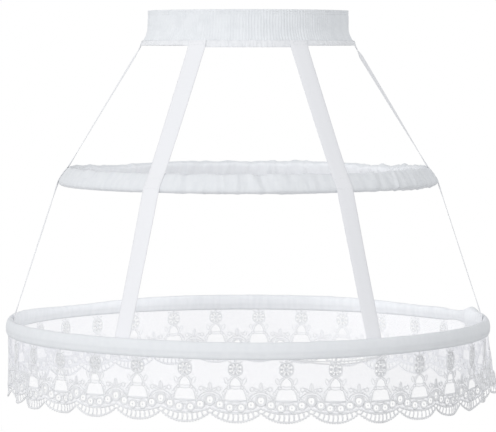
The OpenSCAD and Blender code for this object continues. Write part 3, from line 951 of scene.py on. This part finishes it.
def bellCords(side):
    # one side of the bell, and the cords beside it
    for top, foot, wide, high in (("top", "dome", 0.62, 0.6), ("waist", "cordFoot", 0.45, 0.5)):
        d = np.linspace(bellPlan[top] + 0.1, bellPlan[foot], 9)
        cord(np.stack([side * bellWidth(d), d], 1), wide, high)
    cordRing(side * 6.3, 25.0, 1.5, 9, 0.7, 0.55)  # knot at the waist of the bell
    cord(curve((side * 7.4, 25.2), (side * 9.6, 26.6), (side * 11.4, 29.6)), 0.55, 0.5)
    cord(curve((side * 1.2, 14.8), (side * 4.4, 16.4), (side * 7.0, 19.4)), 0.5, 0.5)
    for wide, *link in motifPlan["links"]:
        cord([(side * x, y) for x, y in link], wide, wide)
    for x, y, r in ((11.9, 34.2, 1.3), (10.1, 44.3, 1.2), (18.6, 41.6, 1.2)):
        cordRing(side * x, y, r, 8, 0.45)


def middleCords():
    # what lies on the middle of the scallop, or of the cusp
    cordRing(0, 44.8, 1.2, 8, 0.45)
    cordRing(0, 41.2, 0.9, 8, 0.45)
    for line in leaf(cusp, 28.8, 90, 8.0, 1.7):
        cord(line, 0.42, 0.45)
    cord([(cusp, 29.0), (cusp, 25.0), (cusp, 20.0)], 0.45, 0.45)
    for d, w in ((24.2, 5.0), (26.6, 6.4)):  # the two bars of the bell
        cord(curve((-w, d), (-w / 2, d - 0.6), (0, d), (w / 2, d - 0.6), (w, d)), 0.36, 0.45)
    cord([(-10.6, 37.2), (-5, 37.5), (0, 37.6), (5, 37.5), (10.6, 37.2)], 0.62, 0.65)


def medalCords():
    at, petals = medalPlan["at"], medalPlan["petals"]
    cord([(0, -1.0), (0, 1.0), (0, 3.0)], 1.2, 0.5)  # stem and crown
    cord(curve((-6.6, 1.2), (-3.4, 2.2), (0, 2.8), (3.4, 2.2), (6.6, 1.2)), 0.62, 0.55)
    t = ringSteps(24, math.tau)
    frameLine = [6.4 * squared(np.sin(t), 0.77), at - 5.8 * squared(np.cos(t), 0.77)]
    cord(np.stack(frameLine, 1), 0.64, 0.65, True)
    cordRing(0, at, 1.9, 10, 0.6, 0.65)
    cordSpokes(0, at, petals, (1.4, 1.4), (6.0, 5.5), 0.38, 0.5)
    for x, y in loop(0, at, 4.0, petals, 3.7 / 4.0):
        cordRing(x, y, 1.0, 7, 0.35)
    cord([(-2.3, 13.8), (0, 15.4), (2.3, 13.8)], 0.9, 0.6)


def looseThreads(heap):
    # two threads along the loose header, and the knot they end in
    p, knot = lacePlan["loose"], lacePlan["knot"]
    azimuth = np.linspace(p["start"] - p["past"], p["stop"] + p["past"], 40)
    wide, high = p["thick"]
    for share in p["threads"]:
        path = laceAt(azimuth, looseEdge(azimuth) * share, 0.3)
        heap.tube(path, outward(azimuth), wide * mm, high * mm, backed=True)
    t = np.linspace(0, 1, 6)
    wide, high = knot["thick"]
    path = laceAt(p["stop"] - knot["before"] + knot["long"] * t, knot["drop"] - knot["rise"] * t, 0.6)
    heap.tube(path, outward(p["stop"] + t), wide * mm, high * mm)


def makeLaceCords(name, first, count):
    heap = Heap()
    for k in range(first, first + count):
        for line, wide, high, closed, off in motif:
            azimuth = laceAzimuth(k * lacePitch + line[:, 0])
            path = laceAt(azimuth, line[:, 1], off)
            heap.tube(path, outward(azimuth), wide * mm, high * mm, closed=closed, backed=True)
    if first == 0:
        looseThreads(heap)
    # the inward faces take the paler cord: painted light
    return heap.piece(name, "cord", "lace", ["cordInsidePaintedLight"])


edgeCords()
ringCords()
archCords()
for side in (-1, 1):
    flowerCords(side)
    bellCords(side)
middleCords()
medalCords()
laceSheet, laceFlat, laceArea = makeLaceSheet()
laceCords = [makeLaceCords("laceCords" + str(q), q * 8, 8) for q in range(4)]

# stitches: rows round the elastic and along the lace seam, and boxes on the tapes
stitchPlan = dict(long=2.3 * mm, gap=1.1 * mm, thick=0.22 * mm, sunk=0.12 * mm, proud=0.14 * mm,
                  onElastic=0.12 * mm, onSeam=0.15 * mm, onTape=0.1 * mm, boxShare=0.72,
                  waistBox=(-16.2 * mm, -19.4 * mm), hoopBox=(0.3, -0.3))


def sew(heap, path, out):
    # small raised stitches round a closed line
    p = stitchPlan
    path, out = [np.concatenate([row, row[:1]]) for row in (path, out)]
    run = runAlong(path)
    step = p["long"] + p["gap"]
    lift = np.array([-p["sunk"], p["proud"], p["proud"], -p["sunk"]])[:, None]
    for k in range(int(run[-1] / step)):
        spots = k * step + np.array([0, 0.3, 0.7, 1.0]) * p["long"]
        at, face = [np.stack([np.interp(spots, run, row[:, c]) for c in range(3)], 1) for row in (path, out)]
        heap.tube(at + face * lift, face, p["thick"], p["thick"], 5)


def sewBox(heap, tape, line, top, foot):
    # a narrow upright box of stitches on a tape
    p = stitchPlan
    z = np.linspace(top, foot, 8)
    order = np.argsort(line[:, 1])
    r = np.interp(z, line[order, 1], line[order, 0]) + tapePlan["thick"] * 1.12 + p["onTape"]
    azimuth = tapeAzimuth(tape, z)
    wide = np.degrees(tapePlan["topWidth"] / 2 * p["boxShare"] / r)
    face = outward(azimuth)
    box = np.concatenate([turned(r, z, azimuth - wide), turned(r, z, azimuth + wide)[::-1]])
    sew(heap, box, np.concatenate([face, face]))


def makeStitches():
    p, heap = stitchPlan, Heap()
    azimuth = ringSteps(720)
    for z in elasticPlan["sewnLines"]:
        radius = elasticPlan["bore"] + elasticPlan["thick"] + p["onElastic"]
        sew(heap, turned(radius, z, azimuth), outward(azimuth))
    r, z = hoopPoint(lowerHoop, -lowerHoop["tall"] * 0.25, lowerHoop["thick"] / 2 * 0.8)
    sew(heap, turned(r + p["onSeam"], z - frontSag(azimuth), azimuth), outward(azimuth))
    line = tapePath()
    hoopBox = [hoopPoint(middleHoop, middleHoop["tall"] * share, 0)[1] for share in p["hoopBox"]]
    for tape in tapes.values():
        for top, foot in (p["waistBox"], hoopBox):
            sewBox(heap, tape, line, top, foot)
    heap.piece("sewnStitches", "thread", "tape")


makeStitches()

# bones and sleeves, as in the CAD
for hoopName in ("middle", "lower"):
    for finish in ("bone", "joiner"):
        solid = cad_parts[hoopName + "_" + finish]
        solid.data.materials.clear()
        solid.data.materials.append(finishes[finish].material)
print("pieces made")

# pale floor, soft light from the left front, and spots for the inner cloth
studioPlan = dict(
    floorHeight=-0.62, floorRadius=1.6, floorSides=96, floorGrey=(0.68, 0.68, 0.68, 1),
    floorWhite=0.72, whiteFrom=0.7, white=(1, 1, 1, 1),
    worldLight=0.745, worldColour=(0.985, 0.992, 1.0, 1), softness=28,
    lampAway=3.0, elevation=12, spotSize=0.04,
    lamps=dict(keyLight=dict(azimuth=-44, strength=0.76), fillLight=dict(azimuth=10, strength=0.30)),
    spots=dict(
        insideLeft=dict(at=(0.10, -0.08, -0.22), aim=(-0.20, 0.125, -0.30), power=1.3, spread=62),
        insideMiddle=dict(at=(0.03, -0.08, -0.24), aim=(-0.02, 0.16, -0.15), power=0.36, spread=115),
        insideRight=dict(at=(-0.10, -0.08, -0.22), aim=(0.20, 0.125, -0.30), power=0.85, spread=62)),
)


def makeFloor():
    p = studioPlan
    made = Finish("paleFloor", {"Base Color": p["floorGrey"]})
    made.feed("Roughness", 0.85 + made.noise(3.0) * 0.1)
    out = made.node("VectorMath", {0: made.objectPlace()}, "Value", operation="LENGTH")
    white = made.node("Emission", {"Color": p["white"], "Strength": 1.0})
    fade = made.smooth(out, p["whiteFrom"], p["floorRadius"])
    share = made.seen() * (p["floorWhite"] + (1 - p["floorWhite"]) * fade)
    made.end(made.node("MixShader", {0: share, 1: made.shader, 2: white}))
    rim = turned(p["floorRadius"], 0.0, ringSteps(p["floorSides"]))
    mesh = bpy.data.meshes.new("floor")
    mesh.from_pydata(rim.tolist(), [], [list(range(len(rim)))])
    mesh.materials.append(made.material)
    floor = addObject("floor", mesh)
    floor.location = (0, 0, p["floorHeight"])


def makeLamp(name, lamp):
    # even light on near and far cloth
    data = bpy.data.lights.new(name, "SUN")
    data.energy = lamp["strength"]
    data.angle = math.radians(studioPlan["softness"])
    made = addObject(name, data)
    away, rise = studioPlan["lampAway"], math.radians(studioPlan["elevation"])
    made.location = turned(away, away * math.tan(rise), lamp["azimuth"])
    made.rotation_euler = (math.pi / 2 - rise, 0, math.radians(lamp["azimuth"]))


def makeSpot(name, spot):
    # a soft spot inside the cage, for the inner cloth of the far side
    data = bpy.data.lights.new(name, "SPOT")
    data.energy = spot["power"]
    data.spot_size = math.radians(spot["spread"])
    data.spot_blend = 1.0
    data.shadow_soft_size = studioPlan["spotSize"]
    made = addObject(name, data)
    made.location = spot["at"]
    made.rotation_euler = (Vector(spot["aim"]) - Vector(spot["at"])).to_track_quat("-Z", "Y").to_euler()
    made.visible_camera = False


def makeWorld():
    p = studioPlan
    world = bpy.data.worlds.new("studio")
    bpy.context.scene.world = world
    world.use_nodes = True
    sky = Graph(world.node_tree, "OutputWorld")
    light = sky.node("Background", {"Color": p["worldColour"], "Strength": p["worldLight"]})
    white = sky.node("Background", {"Color": p["white"], "Strength": 1.0})
    sky.end(sky.node("MixShader", {0: sky.seen(), 1: light, 2: white}))


makeFloor()
for lampName, lampPlan in studioPlan["lamps"].items():
    makeLamp(lampName, lampPlan)
for spotName, spotPlan in studioPlan["spots"].items():
    makeSpot(spotName, spotPlan)
makeWorld()
print("studio lit")
